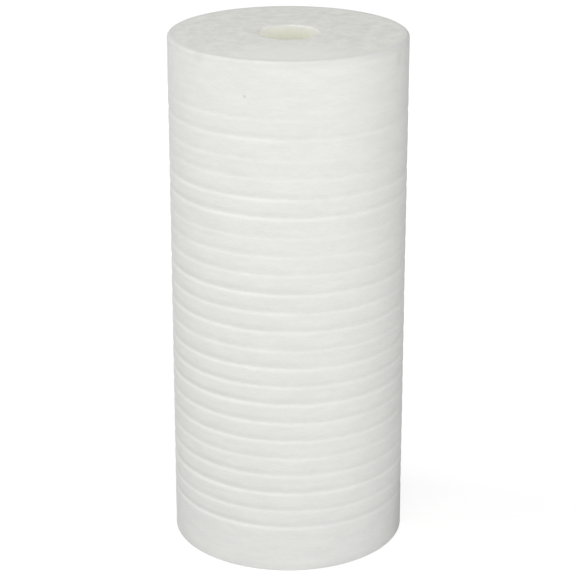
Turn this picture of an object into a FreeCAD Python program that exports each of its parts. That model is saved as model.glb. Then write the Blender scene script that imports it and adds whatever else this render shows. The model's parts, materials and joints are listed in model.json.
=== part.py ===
import FreeCAD, Part
import os
import Sketcher

# Grooved depth filter cartridge for a wide drop-in water filter housing.
# It is one thick-walled tube of white melt-blown polypropylene fibre, bonded to
# itself by heat, with no core, cage, end cap or gasket. Ring grooves run round
# the outside between two plain bands, and a straight bore runs from end to end.
# The housing's ridges press into the two flat end faces, water soaks in through
# the grooved side and leaves through the bore.
# The tube stands on its lower end face, its axis is Z, and the origin is the
# centre of that face. All sizes are millimetres.

SIZES = {
    "outer_diameter": (114.3, "over the ribs between the grooves"),
    "overall_length": (254.0, "end face to end face"),
    "bore_diameter": (28.6, "straight through the middle"),
    "lower_band": (23.4, "lower end face to the middle of the lowest groove"),
    "upper_band_least": (26.0, "shortest plain length above the top groove"),
    "groove_pitch": (9.27, "from one groove to the next"),
    "groove_mouth": (4.0, "height of a groove at the surface"),
    "groove_depth": (1.0, "surface to the bottom of a groove"),
    "rim_bevel": (1.0, "bevel of the outer edge of each end"),
}

NODE = "filter_cartridge"
X_AXIS, ORIGIN_POINT = -1, (-1, 1)
START, END = 1, 2


def make_sheet(doc):
    """Puts every driving size in a cell of its own, under its own name."""
    sheet = doc.addObject("Spreadsheet::Sheet", "sizes")
    for row, (name, (value, meaning)) in enumerate(SIZES.items(), start=1):
        sheet.set(f"A{row}", name)
        sheet.set(f"B{row}", str(value))
        sheet.set(f"C{row}", meaning)
        sheet.setAlias(f"B{row}", name)
    doc.recompute()
    return sheet


def origin_feature(body, role):
    """The body's own origin plane or axis with that role."""
    return next(f for f in body.Origin.OriginFeatures if f.Role == role)


def new_sketch(body, name):
    """An empty sketch in the plane of the half section: X is radius, Y is height."""
    sketch = body.newObject("Sketcher::SketchObject", name)
    sketch.AttachmentSupport = [(origin_feature(body, "XZ_Plane"), "")]
    sketch.MapMode = "FlatFace"
    return sketch


def add_outline(sketch, points):
    """Draws a closed outline of straight lines and returns the lines' numbers."""
    corners = [FreeCAD.Vector(x, y, 0) for x, y in points]
    lines = [
        sketch.addGeometry(Part.LineSegment(a, b), False)
        for a, b in zip(corners, corners[1:] + corners[:1])
    ]
    for line, following in zip(lines, lines[1:] + lines[:1]):
        sketch.addConstraint(Sketcher.Constraint("Coincident", line, END, following, START))
    return lines


def straighten(sketch, kind, lines):
    """Holds each of those lines Horizontal or Vertical."""
    for line in lines:
        sketch.addConstraint(Sketcher.Constraint(kind, line))


def dimension(sketch, kind, first, second, start_value, expression):
    """Sets the distance from one point to another, driven by the sheet."""
    constraint = Sketcher.Constraint(kind, *first, *second, start_value)
    index = sketch.addConstraint(constraint)
    sketch.setExpression(f"Constraints[{index}]", expression)


def make_wall(body):
    """The plain tube: the half section of its wall, turned about the axis."""
    bore_x, outer_x = SIZES["bore_diameter"][0] / 2, SIZES["outer_diameter"][0] / 2
    top_y = SIZES["overall_length"][0]
    sketch = new_sketch(body, "wall_section")
    foot, side, head, bore = add_outline(
        sketch, [(bore_x, 0), (outer_x, 0), (outer_x, top_y), (bore_x, top_y)]
    )
    straighten(sketch, "Horizontal", (foot, head))
    straighten(sketch, "Vertical", (side, bore))
    sketch.addConstraint(Sketcher.Constraint("PointOnObject", foot, START, X_AXIS))
    dimension(sketch, "DistanceX", ORIGIN_POINT, (foot, START), bore_x, "sizes.bore_diameter / 2")
    dimension(sketch, "DistanceX", ORIGIN_POINT, (foot, END), outer_x, "sizes.outer_diameter / 2")
    dimension(sketch, "DistanceY", (side, START), (side, END), top_y, "sizes.overall_length")

    wall = body.newObject("PartDesign::Revolution", "wall")
    wall.Profile = sketch
    wall.ReferenceAxis = (origin_feature(body, "Z_Axis"), [""])
    wall.Angle = 360


def draw_groove_section(body):
    """The V of the lowest groove. It runs on outside the side, twice as deep and twice as wide."""
    outer_x = SIZES["outer_diameter"][0] / 2
    middle_y = SIZES["lower_band"][0]
    mouth, depth = SIZES["groove_mouth"][0], SIZES["groove_depth"][0]
    sketch = new_sketch(body, "groove_section")
    back_x = outer_x + depth
    upper_flank, back, lower_flank = add_outline(
        sketch,
        [
            (outer_x - depth, middle_y),
            (back_x, middle_y + mouth),
            (back_x, middle_y - mouth),
        ],
    )
    straighten(sketch, "Vertical", (back,))
    sketch.addConstraint(Sketcher.Constraint("Equal", lower_flank, upper_flank))
    root, back_top, back_foot = (upper_flank, START), (back, START), (back, END)
    dimension(sketch, "DistanceY", ORIGIN_POINT, root, middle_y, "sizes.lower_band")
    dimension(sketch, "DistanceY", back_foot, back_top, 2 * mouth, "2 * sizes.groove_mouth")
    dimension(sketch, "DistanceX", root, back_top, 2 * depth, "2 * sizes.groove_depth")
    dimension(
        sketch,
        "DistanceX",
        ORIGIN_POINT,
        back_top,
        back_x,
        "sizes.outer_diameter / 2 + sizes.groove_depth",
    )
    return sketch


def make_grooves(body):
    """The lowest groove, turned about the axis, then repeated up the side."""
    groove = body.newObject("PartDesign::Groove", "lowest_groove")
    groove.Profile = draw_groove_section(body)
    groove.ReferenceAxis = (origin_feature(body, "Z_Axis"), [""])
    groove.Angle = 360

    row = body.newObject("PartDesign::LinearPattern", "groove_row")
    row.Originals = [groove]
    row.Direction = (origin_feature(body, "Z_Axis"), [""])
    row.Mode = "Spacing"
    row.setExpression("Offset", "sizes.groove_pitch")
    # The side carries as many grooves as fit between the two plain bands.
    row.setExpression(
        "Occurrences",
        "floor((sizes.overall_length - sizes.lower_band - sizes.upper_band_least)"
        " / sizes.groove_pitch) + 1",
    )
    body.Tip = row
    return row


def rim_edges(shape, radius, heights):
    """Names of the circular edges of that radius that lie at those heights."""
    found = []
    for number, edge in enumerate(shape.Edges, start=1):
        curve = edge.Curve
        if not isinstance(curve, Part.Circle) or abs(curve.Radius - radius) > 1e-4:
            continue
        if any(abs(curve.Center.z - height) < 1e-4 for height in heights):
            found.append(f"Edge{number}")
    return found


def bevel_rims(body, cut, sheet):
    """Takes the sharpness off the outer edge of both end faces."""
    heights = (0, sheet.overall_length)
    bevels = body.newObject("PartDesign::Chamfer", "rim_bevels")
    bevels.Base = (cut, rim_edges(cut.Shape, sheet.outer_diameter / 2, heights))
    bevels.setExpression("Size", "sizes.rim_bevel")
    body.Tip = bevels


def check(doc, body):
    """Stops if any object failed to compute or the solid is not sound."""
    for item in doc.Objects:
        bad = {"Invalid", "Error"} & set(item.State)
        if bad:
            raise RuntimeError(f"{item.Name} is {sorted(bad)}")
    shape = body.Shape
    if shape.isNull() or not shape.isValid() or len(shape.Solids) != 1:
        raise RuntimeError(f"{body.Label} is not one sound solid")


def main():
    doc = FreeCAD.newDocument("cartridge")
    sheet = make_sheet(doc)
    body = doc.addObject("PartDesign::Body", NODE)
    body.Label = NODE
    make_wall(body)
    doc.recompute()
    grooved = make_grooves(body)
    doc.recompute()
    bevel_rims(body, grooved, sheet)
    doc.recompute()
    check(doc, body)

    os.makedirs("parts", exist_ok=True)
    body.Shape.exportStep(f"parts/{NODE}.step")
    box = body.Shape.optimalBoundingBox(False)
    count = doc.getObject("groove_row").Occurrences
    print(f"{NODE}: {box.XLength:.2f} x {box.YLength:.2f} x {box.ZLength:.2f} mm,")
    print(f"{count} grooves, {body.Shape.Volume / 1000:.1f} cubic centimetres")


main()
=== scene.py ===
"""Dresses the grooved depth filter cartridge and sets up its studio picture."""

import json
import math

import bpy
import numpy as np
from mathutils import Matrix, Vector, noise


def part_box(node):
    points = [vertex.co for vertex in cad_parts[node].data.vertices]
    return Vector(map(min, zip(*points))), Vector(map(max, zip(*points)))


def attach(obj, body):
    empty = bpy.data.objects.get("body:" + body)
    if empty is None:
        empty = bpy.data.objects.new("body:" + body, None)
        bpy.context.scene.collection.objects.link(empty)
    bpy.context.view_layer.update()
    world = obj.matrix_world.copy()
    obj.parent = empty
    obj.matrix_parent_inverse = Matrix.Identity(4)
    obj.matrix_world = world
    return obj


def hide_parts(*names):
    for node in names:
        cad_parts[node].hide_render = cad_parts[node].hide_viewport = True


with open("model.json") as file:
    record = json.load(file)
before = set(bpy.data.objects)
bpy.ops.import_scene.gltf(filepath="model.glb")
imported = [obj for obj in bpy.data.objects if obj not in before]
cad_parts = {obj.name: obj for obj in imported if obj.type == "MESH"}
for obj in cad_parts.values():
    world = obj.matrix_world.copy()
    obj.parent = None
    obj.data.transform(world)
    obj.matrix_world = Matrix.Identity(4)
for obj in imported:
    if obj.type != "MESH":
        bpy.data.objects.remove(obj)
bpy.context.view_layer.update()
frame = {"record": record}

bl_info = {
    "name": "Grooved Filter Cartridge",
    "version": (1, 0, 0),
    "blender": (4, 5, 0),
    "location": "View3D > Sidebar > Cartridge",
    "description": "Makes a melt-blown fibre filter cartridge and the studio it stands in",
    "category": "Object",
}

NODE = "filter_cartridge"
LOW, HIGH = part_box(NODE)
OUTER_RADIUS = HIGH.x
LENGTH = HIGH.z - LOW.z
BORE = next(m for m in frame["record"]["mounts"] if m["name"] == "bore")
BORE_RADIUS = BORE["dims"]["r_mm"] / 1000

# Parts of the surface, which are also the numbers of their material slots.
SIDE, END_FACE, BORE_WALL = range(3)


# Settings a user would change


def length(name, description, default):
    """A size in metres, shown in the scene's unit of length."""
    return bpy.props.FloatProperty(
        name=name, description=description, default=default, unit="LENGTH", precision=5
    )


def colour(name, description, default):
    """A colour, stored as the linear values that the shader takes."""
    return bpy.props.FloatVectorProperty(
        name=name, description=description, default=default, subtype="COLOR", min=0, max=1
    )


def share(name, description, default, highest=1.0):
    """A plain number from nothing to its highest."""
    return bpy.props.FloatProperty(
        name=name, description=description, default=default, min=0, max=highest
    )


def power(name, description, default):
    """A lamp's power in watts."""
    return bpy.props.FloatProperty(
        name=name, description=description, default=default, unit="POWER", min=0
    )


class CartridgeSizes(bpy.types.PropertyGroup):
    """Form of the fibre tube. Its diameter, length and bore come from the CAD part."""

    lower_band: length("Lower band", "Lower end face to the middle of the lowest groove", 0.0235)
    upper_band_least: length("Upper band", "Shortest plain length above the top groove", 0.026)
    groove_pitch: length("Groove pitch", "From one groove to the next", 0.00927)
    groove_mouth: length("Groove mouth", "Height of a groove at the surface", 0.0040)
    groove_depth: length("Groove depth", "Surface to the bottom of a groove", 0.00041)
    root_drop: length("Root drop", "How far a groove's bottom lies below its middle", 0.0005)
    lip_softness: share("Lip softness", "How far a groove's two lips are rounded over", 0.35)
    root_softness: share("Root softness", "How far a groove's bottom is rounded out", 0.25)
    rim_round: length("Rim round", "Rounding of the outer edge of the upper end face", 0.0017)
    foot_round: length("Foot round", "Rounding of the outer edge of the lower end face", 0.0006)
    bore_round: length("Bore round", "Rounding of the bore's edge at both end faces", 0.0005)
    groove_tilt: length(
        "Groove tilt", "How far the rings rise at the left and sink at the right", 0.0007
    )
    waviness: length("Waviness", "How far the grooves stray from true rings", 0.0004)
    depth_spread: share("Depth spread", "How much the grooves' depths differ", 0.5)
    head_fade: share("Head fade", "How much shallower the topmost grooves are", 0.45)
    right_fade: share("Right fade", "How much shallower the grooves are on the right", 0.3)
    lumpiness: length("Lumpiness", "Slow unevenness of the fibre wall", 0.00014)
    fuzz: length("Fuzz", "Height of the finest unevenness that the mesh carries", 0.00005)
    depth_seed: bpy.props.IntProperty(
        name="Depth seed", description="Picks which grooves are deeper", default=96571
    )
    shift_seed: bpy.props.IntProperty(
        name="Shift seed", description="Picks which grooves sit higher", default=377944
    )
    turns: bpy.props.IntProperty(
        name="Turns", description="Faces round the tube", default=224, min=48, max=240
    )


class FibreLook(bpy.types.PropertyGroup):
    """Colour and finish of the fibre, with its painted shade and painted light."""

    side_colour: colour("Side", "Fibre of the outside", (0.892, 0.892, 0.866))
    end_colour: colour("End face", "Fibre cut through at the ends", (0.945, 0.943, 0.90))
    # The bore's cream is painted warm light, standing for the light bounced round inside the bore.
    bore_colour_with_painted_warmth: colour("Bore", "Denser fibre that lines the bore", (0.995, 0.98, 0.82))
    # Also the colour of the painted shade at the right of the foot.
    stain_and_painted_shade_colour: colour("Marks", "Specks and scuffs", (0.42, 0.42, 0.40))
    # Painted light: the front of the upper end face is painted paler.
    painted_light_colour: colour("Pale patch", "Paler fibre at the front of the end face", (1.0, 1.0, 0.96))
    # Painted shade: the fibre is painted greyer and darker towards the foot.
    painted_foot_colour: colour("Foot", "Greyer fibre round the foot", (0.55, 0.56, 0.58))
    painted_foot_shade: share("Foot shade", "How much of that grey there is at the foot", 0.07)
    mottle: share("Mottle", "How much the fibre's brightness varies", 0.042)
    cut_mottle: share("Cut mottle", "The same, on the cut end faces", 0.11)
    # Painted shade along the outer edges of the end faces and the side next to them.
    painted_rim_shade: share("Rim shade", "How much darker the fibre is at the outer edges", 0.07)
    grain: share("Grain", "Strength of the fibre's relief", 0.35)
    bore_glow: share("Bore glow", "How much of the bore's light comes through the fibre", 1.0)
    bore_soak: length("Bore soak", "How far light comes through the fibre into the bore", 0.03)


class StudioSizes(bpy.types.PropertyGroup):
    """Camera, lamps and backdrop."""

    camera_distance: length("Camera distance", "From the tube's axis, measured level", 0.94927)
    camera_height: length("Camera height", "Above the floor", 0.47909)
    camera_aside: length("Camera aside", "To the right of the tube's axis", -0.00014)
    camera_pitch: bpy.props.FloatProperty(
        name="Camera pitch",
        description="How far the camera looks down",
        default=math.radians(20.4224),
        unit="ROTATION",
    )
    focal_length: bpy.props.FloatProperty(
        name="Focal length",
        description="Of the camera's lens, in millimetres",
        default=128.8,
        unit="CAMERA",
    )
    floor_colour: colour("Floor", "Floor and backdrop", (0.5, 0.5, 0.5))
    floor_glow: share("Floor glow", "How bright the floor looks to the camera without light", 0.8)
    low_power: power("Low lamp", "Large soft lamp below the camera", 4.0)
    high_power: power("High lamp", "Large soft lamp above the camera", 5.3)
    left_power: power("Left lamp", "Large soft lamp on the left", 6.4)
    right_power: power("Right lamp", "Large soft lamp to the front right", 2.7)
    sky: share("Room light", "Even light from all round", 0.40, 4)


# Shader building

# The painted rim shade, in metres in from the outer edge of an end face and along the side from it:
# where it starts, and where it is full.
RIM_SHADE_IN = 0.0025, 0.0005
RIM_SHADE_ALONG = 0.0045, 0.0005

PAINTED_FOOT_SHADE_HEIGHTS = 0.05, 0.01  # where the painted foot shade starts, and where it is full
FIBRE_RELIEF = 0.0004  # height of the felted relief, in metres
SOAK_BY_COLOUR = (1.0, 0.95, 0.75)  # red light comes further through the fibre than blue


class Field:
    """A number that varies over a surface: a node's socket, on which maths reads as maths."""

    def __init__(self, paint, socket):
        self.paint = paint
        self.socket = socket

    def combine(self, operation, *values):
        """The Math node of that operation on those values."""
        sockets = dict(enumerate(values))
        return self.paint.field("ShaderNodeMath", {"operation": operation}, sockets)

    def __add__(self, other):
        return self.combine("ADD", self, other)

    def __radd__(self, other):
        return self.combine("ADD", other, self)

    def __sub__(self, other):
        return self.combine("SUBTRACT", self, other)

    def __rsub__(self, other):
        return self.combine("SUBTRACT", other, self)

    def __mul__(self, other):
        return self.combine("MULTIPLY", self, other)

    def __rmul__(self, other):
        return self.combine("MULTIPLY", other, self)

    def __abs__(self):
        return self.combine("ABSOLUTE", self)

    def or_larger(self, other):
        """Whichever of the two is larger."""
        return self.combine("MAXIMUM", self, other)


class Paint:
    """A material under construction."""

    def __init__(self, name):
        self.material = bpy.data.materials.new(name)
        self.material.use_nodes = True
        self.tree = self.material.node_tree
        self.tree.nodes.clear()

    def node(self, kind, settings=None, sockets=None):
        """A node of that type. Its settings come first, because they can change its sockets."""
        made = self.tree.nodes.new(kind)
        for setting, value in (settings or {}).items():
            setattr(made, setting, value)
        for key, value in (sockets or {}).items():
            if isinstance(value, Field):
                value = value.socket
            if isinstance(value, bpy.types.NodeSocket):
                self.tree.links.new(value, made.inputs[key])
            else:
                made.inputs[key].default_value = value
        return made

    def field(self, kind, settings=None, sockets=None, output=0):
        """That node's output as a field."""
        return Field(self, self.node(kind, settings, sockets).outputs[output])

    def place(self):
        """Where a point of the surface is, in metres, in the part's own frame."""
        return self.node("ShaderNodeTexCoord").outputs["Object"]

    def stretched(self, scale):
        """That place, stretched by a factor along each axis."""
        return self.node(
            "ShaderNodeVectorMath", {"operation": "MULTIPLY"}, {0: self.place(), 1: scale}
        ).outputs[0]

    def clouds(self, scale, detail, roughness=0.5, distortion=0.0):
        """Smooth noise about 0.5. Scale is how many lumps it has to the metre along each axis."""
        sockets = {
            "Vector": self.stretched(scale),
            "Scale": 1.0,
            "Detail": detail,
            "Roughness": roughness,
            "Distortion": distortion,
        }
        return self.field("ShaderNodeTexNoise", {"noise_dimensions": "3D"}, sockets)

    def eased(self, value, start, end):
        """0 where value is at start, 1 where it is at end, eased between."""
        return self.field(
            "ShaderNodeMapRange",
            {"interpolation_type": "SMOOTHSTEP"},
            {"Value": value, "From Min": start, "From Max": end},
        )

    def spot(self, centre, radius, softness):
        """1 within radius of a point, fading to 0 over the softness beyond."""
        sockets = {0: self.place(), 1: centre}
        distance = self.field("ShaderNodeVectorMath", {"operation": "DISTANCE"}, sockets, "Value")
        return self.eased(distance, radius + softness, radius)

    def height(self):
        """Height above the foot, in metres."""
        return self.field("ShaderNodeSeparateXYZ", None, {0: self.place()}, "Z")

    def at_rim(self):
        """1 at the outer edges of the end faces, fading to 0 a little further in and along."""
        flat = self.stretched((1, 1, 0))
        radius = self.field("ShaderNodeVectorMath", {"operation": "LENGTH"}, {0: flat}, "Value")
        off_middle = abs(self.height() - LENGTH / 2)
        across = self.eased(radius, *(OUTER_RADIUS - inset for inset in RIM_SHADE_IN))
        return across * self.eased(off_middle, *(LENGTH / 2 - inset for inset in RIM_SHADE_ALONG))

    def mixed(self, factor, first, second):
        """One colour turning into another as factor goes from 0 to 1."""
        # Among the Mix node's sockets, 6 and 7 take colours, and output 2 gives one.
        sockets = {0: factor, 6: first, 7: second}
        return self.node("ShaderNodeMix", {"data_type": "RGBA"}, sockets).outputs[2]

    def finish(self, shader):
        """The material, with that shader on its surface."""
        self.node("ShaderNodeOutputMaterial", None, {"Surface": shader.outputs[0]})
        return self.material


def opaque(rgb):
    """That colour with full alpha."""
    return (*rgb, 1.0)


def grey(value):
    """An opaque grey."""
    return opaque((value, value, value))


def dimmed(rgb, amount):
    """The same colour, darker by a share of itself, and never above white."""
    return opaque([min(c * (1 - amount), 1.0) for c in rgb])


def marks_and_painted_light(paint, spots):
    """All of those soft spots together, each given as centre, radius, softness and strength."""
    total = 0.0
    for centre, radius, softness, strength in spots:
        total = paint.spot(centre, radius, softness) * strength + total
    return total


def fibre(name, look, rgb, grain_scale, mottle, spots=(), spot_rgb=(0, 0, 0), glow=0.0):
    """Bonded fibre: matt, mottled, with a fine felted relief, painted shade at its rims and foot,
    and soft spots. Glow lets light through it.
    """
    paint = Paint(name)
    blotches = paint.clouds([lumps / 4 for lumps in grain_scale], 2.0)
    strands = paint.clouds(grain_scale, 4.0, roughness=0.62, distortion=1.2)
    uneven = paint.eased(blotches * 0.5 + strands * 0.5, 0.30, 0.70)
    base = paint.mixed(uneven, dimmed(rgb, mottle), dimmed(rgb, -mottle / 3))
    # Painted shade at the outer edges of the end faces.
    base = paint.mixed(paint.at_rim() * look.painted_rim_shade, base, grey(0))
    # Painted shade: greyer and darker towards the foot.
    foot = paint.eased(paint.height(), *PAINTED_FOOT_SHADE_HEIGHTS) * look.painted_foot_shade
    base = paint.mixed(foot, base, opaque(look.painted_foot_colour))
    # Soft spots: marks in the fibre, painted shade at the right of the foot and painted light at
    # the front of the end face.
    if spots:
        base = paint.mixed(marks_and_painted_light(paint, spots), base, opaque(spot_rgb))
    relief = paint.node(
        "ShaderNodeBump",
        None,
        {"Strength": look.grain, "Distance": FIBRE_RELIEF, "Height": strands},
    )
    shader = paint.node(
        "ShaderNodeBsdfPrincipled",
        {"subsurface_method": "RANDOM_WALK"},
        {
            "Base Color": base,
            "Roughness": 0.82 + 0.12 * strands,
            "Normal": relief.outputs[0],
            "Specular IOR Level": 0.1,
            "Subsurface Weight": glow,
            "Subsurface Radius": SOAK_BY_COLOUR,
            "Subsurface Scale": look.bore_soak,
        },
    )
    return paint.finish(shader)


# The cartridge

# Rings of points in a groove, in heights of its lower or upper flank from its bottom.
GROOVE_RINGS = (-1.45, -1.15, -0.95, -0.75, -0.5, -0.25, 0.0, 0.25, 0.5, 0.75, 0.95, 1.15, 1.45)
GROOVE_REACH = 1.6  # where nothing is left of a groove's lips, measured the same way
BAND_STEP = 0.0021  # from ring to ring on the plain bands, in metres

RIM_STEPS, LIP_STEPS = 4, 2  # faces across a rounded rim, and across the bore's rounded edge
FACE_RINGS = 22
FOOT_EVERY = 4  # the lower face has every fourth of the upper one's rings
BORE_FOOT_RINGS = (0.004, 0.010)  # metres above the foot
BORE_HEAD_RINGS = (0.014, 0.010, 0.0075, 0.005, 0.003, 0.0015)  # metres below the head
BORE_MIDDLE_RINGS, BORE_MIDDLE_INSET = 20, 0.02

# Smooth noise over the tube: how many times more lumps along Z, lumps to the metre, seed.
STRAY = 3.0, 16, 1
LUMPS = 1.0, 60, 2
FUZZ = 1.6, 420, 3
PATCHES = 4.0, 30, 4

PATCH_SHARE = 0.2  # how much a groove's depth varies round the tube
STRAY_SHARE = 0.35  # how much of the waviness varies round the tube, beside each ring's own shift
HEAD_FADE_HEIGHTS = 0.12, 0.228  # where grooves start to get shallower, and where they end
TRUE_ENDS = 0.004, 0.018  # from an end: rings are true up to there, and stray fully from there


def groove_count(sizes):
    """As many grooves as fit between the two plain bands."""
    room = LENGTH - sizes.lower_band - sizes.upper_band_least
    return math.floor(room / sizes.groove_pitch) + 1


def groove_heights(sizes):
    """Height of each groove's middle, from the foot up."""
    return sizes.lower_band + sizes.groove_pitch * np.arange(groove_count(sizes))


def flank_heights(sizes):
    """Heights of a groove's lower and upper flank, which differ where its bottom lies low."""
    half = sizes.groove_mouth / 2
    return half - sizes.root_drop, half + sizes.root_drop


def ring_heights(sizes):
    """Heights of the side's rings of points: close together in a groove, wider on the bands."""
    below, above = flank_heights(sizes)
    reach = [-sizes.root_drop + s * (below if s < 0 else above) for s in GROOVE_RINGS]
    grooves = groove_heights(sizes)
    inside = [z + r for z in grooves for r in reach]
    gap = sizes.groove_pitch - reach[-1] + reach[0]
    between = [z + reach[-1] + gap * t for z in grooves[:-1] for t in (1 / 3, 2 / 3)]

    def band(end, groove):
        steps = int(abs(groove - end) / BAND_STEP) + 1
        return np.linspace(end, groove, steps, endpoint=False)

    low_band = band(sizes.foot_round, inside[0])
    high_band = band(LENGTH - sizes.rim_round, inside[-1])
    return sorted([*low_band, *inside, *between, *high_band])


def rounded_corner(centre_r, centre_z, radius, start, end, steps):
    """Points of the half section along an arc, from one angle to another."""
    angles = np.radians(np.linspace(start, end, steps + 1))
    return [(centre_r + radius * math.cos(a), centre_z + radius * math.sin(a)) for a in angles]


def bore_heights(lip):
    """Heights of the bore's rings of points, from the foot up, closest where it is seen."""
    middle = np.linspace(BORE_MIDDLE_INSET, LENGTH - BORE_MIDDLE_INSET, BORE_MIDDLE_RINGS)
    head = [LENGTH - inset for inset in (*BORE_HEAD_RINGS, lip)]
    return [lip, *BORE_FOOT_RINGS, *middle, *head]


def half_section(sizes):
    """The closed half section as (radius, height, part), from the foot's bore edge outwards."""
    rim, foot, lip = sizes.rim_round, sizes.foot_round, sizes.bore_round
    face_radii = np.linspace(BORE_RADIUS + lip, OUTER_RADIUS - rim, FACE_RINGS)[1:-1]
    foot_lip = rounded_corner(BORE_RADIUS + lip, lip, lip, 180, 270, LIP_STEPS)
    foot_rim = rounded_corner(OUTER_RADIUS - foot, foot, foot, 270, 360, RIM_STEPS)
    head_rim = rounded_corner(OUTER_RADIUS - rim, LENGTH - rim, rim, 0, 90, RIM_STEPS)
    head_lip = rounded_corner(BORE_RADIUS + lip, LENGTH - lip, lip, 90, 180, LIP_STEPS)
    stretches = (
        (END_FACE, foot_lip[1:]),
        (END_FACE, [(r, 0.0) for r in face_radii[::FOOT_EVERY]]),
        (END_FACE, foot_rim[:-1]),
        (SIDE, [(OUTER_RADIUS, z) for z in ring_heights(sizes)]),
        (SIDE, head_rim[1:]),
        (END_FACE, [(r, LENGTH) for r in face_radii[::-1]]),
        (END_FACE, head_lip[:-1]),
        (BORE_WALL, [(BORE_RADIUS, z) for z in bore_heights(lip)[::-1]]),
    )
    return [(r, z, part) for part, stretch in stretches for r, z in stretch]


def soft_v(u, lip, root):
    """Share of a groove's depth at u flank heights from its bottom: a V, rounded off all over."""
    slope = 1 - np.sqrt(u * u + root * root)
    deepest, furthest = 1 - root, 1 - GROOVE_REACH
    raw = 0.5 * (slope + np.sqrt(slope * slope + lip * lip))
    top = 0.5 * (deepest + math.sqrt(deepest * deepest + lip * lip))
    floor = 0.5 * (furthest + math.sqrt(furthest * furthest + lip * lip))
    return np.clip((raw - floor) / (top - floor), 0, 1)


def eased(value, start, end):
    """0 where value is at start, 1 where it is at end, eased between."""
    t = np.clip((value - start) / (end - start), 0, 1)
    return t * t * (3 - 2 * t)


def rough(points, stretch, frequency, seed):
    """Smooth noise from -1 to 1, frequency lumps to the metre and stretch times as many along Z."""
    offset = Vector((seed * 7.13, seed * 3.71, seed * 5.39))
    scaled = points * (1, 1, stretch)
    values = [noise.noise(Vector(p) * frequency + offset) for p in scaled.reshape(-1, 3)]
    return np.array(values).reshape(points.shape[:-1])


def groove_cuts(sizes, heights, turn, patches):
    """How deep the grooves cut into the side at each height and angle."""
    grooves = groove_heights(sizes)
    own = np.random.default_rng(sizes.depth_seed).uniform(-1, 1, len(grooves))
    head_fade = 1 - sizes.head_fade * eased(grooves, *HEAD_FADE_HEIGHTS)
    own_shares = (1 + sizes.depth_spread * own) * head_fade
    below, above = flank_heights(sizes)
    depth = np.zeros((len(heights), len(turn)))
    for height, own_share in zip(grooves, own_shares):
        over_root = heights[:, None] - height + sizes.root_drop
        u = over_root / np.where(over_root < 0, below, above)
        shape = soft_v(u, sizes.lip_softness, sizes.root_softness)
        cut = np.where(np.abs(u) < GROOVE_REACH, shape, 0)
        depth += cut * sizes.groove_depth * own_share * (1 + PATCH_SHARE * patches)
    return depth * (1 - sizes.right_fade * np.maximum(np.cos(turn), 0))


def ring_shifts(sizes, heights, turn, stray):
    """How far up each point of a ring strays from a level, evenly spaced ring."""
    grooves = groove_heights(sizes)
    own = np.random.default_rng(sizes.shift_seed).uniform(-1, 1, len(grooves))
    own_shift = np.interp(heights, grooves, own)[:, None]
    shift = sizes.waviness * (STRAY_SHARE * stray + own_shift)
    return shift - sizes.groove_tilt * np.cos(turn)


def cartridge_mesh(sizes):
    """The tube as a mesh of quads, with true grooves and the unevenness of bonded fibre."""
    section = half_section(sizes)
    radii = np.array([r for r, _, _ in section])
    heights = np.array([z for _, z, _ in section])
    parts = np.array([part for _, _, part in section])
    turn = np.linspace(0, 2 * math.pi, sizes.turns, endpoint=False)
    rings, around = len(section), sizes.turns
    side = parts == SIDE

    true = np.empty((rings, around, 3))
    true[..., 0] = radii[:, None] * np.cos(turn)
    true[..., 1] = radii[:, None] * np.sin(turn)
    true[..., 2] = heights[:, None]
    place = true.copy()

    from_end = np.minimum(heights, LENGTH - heights)
    free = np.where(side, eased(from_end, *TRUE_ENDS), 0)[:, None]
    place[..., 2] += free * ring_shifts(sizes, heights, turn, rough(true, *STRAY))

    depth = groove_cuts(sizes, heights, turn, rough(true, *PATCHES))
    depth[~side | (radii < OUTER_RADIUS - 1e-6)] = 0
    fuzz = 0.5 * sizes.fuzz * (1 + rough(true, *FUZZ))
    sunk = 0.5 * sizes.lumpiness * (1 + rough(true, *LUMPS)) + fuzz
    slim = 1 - (depth + np.where(side[:, None], sunk, 0)) / radii[:, None]
    place[..., :2] *= slim[..., None]
    top_face = (np.abs(heights - LENGTH) < 1e-9) & ~side
    place[top_face, :, 2] -= fuzz[top_face]

    index = np.arange(rings * around).reshape(rings, around)
    following = np.roll(index, -1, axis=0)
    corners = [index, np.roll(index, -1, axis=1), np.roll(following, -1, axis=1), following]
    faces = np.stack(corners, axis=-1).reshape(-1, 4)
    mesh = bpy.data.meshes.new(NODE)
    mesh.from_pydata(place.reshape(-1, 3).tolist(), [], faces.tolist())
    mesh.polygons.foreach_set("material_index", np.repeat(parts, around))
    mesh.polygons.foreach_set("use_smooth", np.ones(len(faces), bool))
    mesh.update()
    return mesh


def on_side(angle, height):
    """A point on the side, by degrees from the front, to the right, and height in metres."""
    a = math.radians(angle)
    return (OUTER_RADIUS * math.sin(a), -OUTER_RADIUS * math.cos(a), height)


# Marks in the fibre, painted shade and painted light: centre, radius, softness and strength.
SIDE_MARKS_AND_PAINTED_SHADE = (
    (on_side(-20.05, 0.2372), 0.0003, 0.0008, 0.30),  # dark speck
    (on_side(-45.5, 0.2532), 0.0012, 0.0040, 0.12),  # darker spot at the rim
    (on_side(63.0, 0.2478), 0.0012, 0.0035, 0.12),  # darker spot below the rim
    (on_side(97.0, 0.010), 0.010, 0.032, 0.35),  # painted shade at the right of the foot
)
# Painted light: a paler patch at the front of the upper end face.
PAINTED_LIGHT_PATCH = (((0, -OUTER_RADIUS, LENGTH), 0.012, 0.040, 0.75),)

# Lumps of the grain to the metre along each axis. On the side the strands lie round the tube.
SIDE_GRAIN = (260, 260, 900)
CUT_GRAIN = (600, 600, 600)
BORE_GRAIN = (400, 400, 500)


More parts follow.
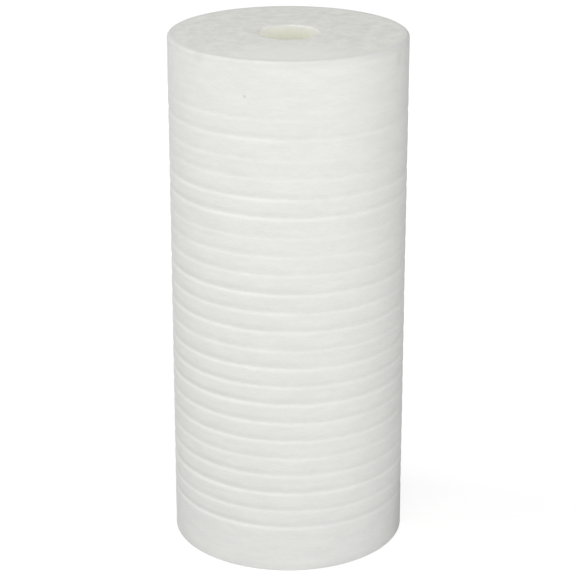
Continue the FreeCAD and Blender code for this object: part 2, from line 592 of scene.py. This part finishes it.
class CARTRIDGE_OT_tube(bpy.types.Operator):
    """Make the fibre tube with its grooves and give it its three finishes"""

    bl_idname = "cartridge.tube"
    bl_label = "Make Fibre Tube"

    def execute(self, context):
        look = context.scene.cartridge_look
        tube = bpy.data.objects.new("fibre_tube", cartridge_mesh(context.scene.cartridge_sizes))
        context.scene.collection.objects.link(tube)
        side = (look.side_colour, SIDE_GRAIN, look.mottle, SIDE_MARKS_AND_PAINTED_SHADE, look.stain_and_painted_shade_colour)
        cut = (look.end_colour, CUT_GRAIN, look.cut_mottle, PAINTED_LIGHT_PATCH, look.painted_light_colour)
        bore = (look.bore_colour_with_painted_warmth, BORE_GRAIN, look.mottle)
        for material in (
            fibre("side_fibre", look, *side),
            fibre("cut_fibre", look, *cut),
            fibre("bore_fibre", look, *bore, glow=look.bore_glow),
        ):
            tube.data.materials.append(material)
        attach(tube, "root")
        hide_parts(NODE)
        return {"FINISHED"}


# The studio

# Lamps: name, setting with the power, degrees to the right of the camera, degrees up.
LAMPS = (
    ("low_lamp", "low_power", -15, 10),
    ("high_lamp", "high_power", 15, 35),
    ("left_lamp", "left_power", -90, 35),
    ("right_lamp", "right_power", 50, 10),
)
LAMP_DISTANCE, LAMP_SIZE = 1.4, 0.8

# Round the cartridge the backdrop glows a little less, which lets its shadow show there.
DULLER_GLOW = 0.86
DULLER_DISTANCES = 0.1, 0.5  # from the middle of its foot: duller up to there, white from there


def backdrop_material(rgb, glow):
    """White to the camera and in reflections, a little less where the cartridge's shadow falls."""
    paint = Paint("backdrop")
    rays = paint.node("ShaderNodeLightPath").outputs
    to_camera, in_gloss, through = (
        Field(paint, rays[f"Is {kind} Ray"]) for kind in ("Camera", "Glossy", "Transmission")
    )
    seen = to_camera.or_larger(in_gloss).or_larger(through)
    place = {0: paint.place()}
    away = paint.field("ShaderNodeVectorMath", {"operation": "LENGTH"}, place, "Value")
    pale = paint.mixed(paint.eased(away, *DULLER_DISTANCES), grey(DULLER_GLOW), grey(1))
    shader = paint.node(
        "ShaderNodeBsdfPrincipled",
        None,
        {
            "Base Color": opaque(rgb),
            "Roughness": 0.9,
            "Specular IOR Level": 0.1,
            "Emission Color": paint.mixed(seen, grey(0), pale),
            "Emission Strength": glow,
        },
    )
    return paint.finish(shader)


def backdrop_mesh():
    """A floor that curves up into a backdrop far behind."""
    width, front, back, height, curve = 6.0, -2.0, 2.6, 2.6, 1.0
    arc = np.radians(np.linspace(-90, 0, 17))
    line = [(front, 0.0)]
    line += [(back - curve + curve * math.cos(a), curve + curve * math.sin(a)) for a in arc]
    line += [(back, height)]
    points = [(x, y, z) for y, z in line for x in (-width / 2, width / 2)]
    faces = [(2 * k, 2 * k + 1, 2 * k + 3, 2 * k + 2) for k in range(len(line) - 1)]
    mesh = bpy.data.meshes.new("backdrop")
    mesh.from_pydata(points, [], faces)
    mesh.polygons.foreach_set("use_smooth", [True] * len(faces))
    return mesh


def add_lamp(scene, name, watts, azimuth, elevation):
    """A square soft lamp aimed at the cartridge. Azimuth is degrees right of the camera."""
    lamp = bpy.data.lights.new(name, "AREA")
    lamp.energy = watts
    lamp.size = LAMP_SIZE
    middle = Vector((0, 0, LENGTH / 2))
    a, e = math.radians(azimuth), math.radians(elevation)
    aim = Vector((math.sin(a) * math.cos(e), -math.cos(a) * math.cos(e), math.sin(e)))
    holder = bpy.data.objects.new(name, lamp)
    holder.location = middle + aim * LAMP_DISTANCE
    holder.rotation_euler = aim.to_track_quat("Z", "Y").to_euler()
    scene.collection.objects.link(holder)


def add_room_light(scene, strength):
    """A white world of that strength."""
    world = bpy.data.worlds.new("room_light")
    world.use_nodes = True
    sockets = world.node_tree.nodes["Background"].inputs
    sockets["Color"].default_value = grey(1)
    sockets["Strength"].default_value = strength
    scene.world = world


def add_camera(scene, studio):
    """The camera that takes the picture from where the photo was taken."""
    camera = bpy.data.cameras.new("camera")
    camera.lens = studio.focal_length
    camera.sensor_width = 36
    camera.clip_end = 20
    holder = bpy.data.objects.new("camera", camera)
    holder.location = (studio.camera_aside, -studio.camera_distance, studio.camera_height)
    holder.rotation_euler = (math.pi / 2 - studio.camera_pitch, 0, 0)
    scene.collection.objects.link(holder)
    scene.camera = holder


class CARTRIDGE_OT_studio(bpy.types.Operator):
    """Set up the floor, the backdrop, the lamps and the camera"""

    bl_idname = "cartridge.studio"
    bl_label = "Set Up Studio"

    def execute(self, context):
        scene, studio = context.scene, context.scene.cartridge_studio
        backdrop = bpy.data.objects.new("backdrop", backdrop_mesh())
        backdrop.data.materials.append(backdrop_material(studio.floor_colour, studio.floor_glow))
        scene.collection.objects.link(backdrop)
        for name, setting, azimuth, elevation in LAMPS:
            add_lamp(scene, name, getattr(studio, setting), azimuth, elevation)
        add_room_light(scene, studio.sky)
        add_camera(scene, studio)
        scene.view_settings.view_transform = "Standard"
        return {"FINISHED"}


class CARTRIDGE_PT_sidebar(bpy.types.Panel):
    """Lists the cartridge's steps and settings"""

    bl_idname = "CARTRIDGE_PT_sidebar"
    bl_label = "Filter Cartridge"
    bl_space_type = "VIEW_3D"
    bl_region_type = "UI"
    bl_category = "Cartridge"

    def draw(self, context):
        for operator, groups in STEPS:
            box = self.layout.box()
            box.operator(operator)
            for name in groups:
                settings = getattr(context.scene, name)
                for key in settings.__annotations__:
                    box.prop(settings, key)


STEPS = (
    ("cartridge.tube", ("cartridge_sizes", "cartridge_look")),
    ("cartridge.studio", ("cartridge_studio",)),
)
GROUPS = {
    "cartridge_sizes": CartridgeSizes,
    "cartridge_look": FibreLook,
    "cartridge_studio": StudioSizes,
}
CLASSES = (*GROUPS.values(), CARTRIDGE_OT_tube, CARTRIDGE_OT_studio, CARTRIDGE_PT_sidebar)


def register():
    for cls in CLASSES:
        bpy.utils.register_class(cls)
    for name, group in GROUPS.items():
        setattr(bpy.types.Scene, name, bpy.props.PointerProperty(type=group))


def unregister():
    for name in GROUPS:
        delattr(bpy.types.Scene, name)
    for cls in reversed(CLASSES):
        bpy.utils.unregister_class(cls)


def main():
    register()
    bpy.ops.cartridge.tube()
    bpy.ops.cartridge.studio()


if __name__ == "__main__":
    main()
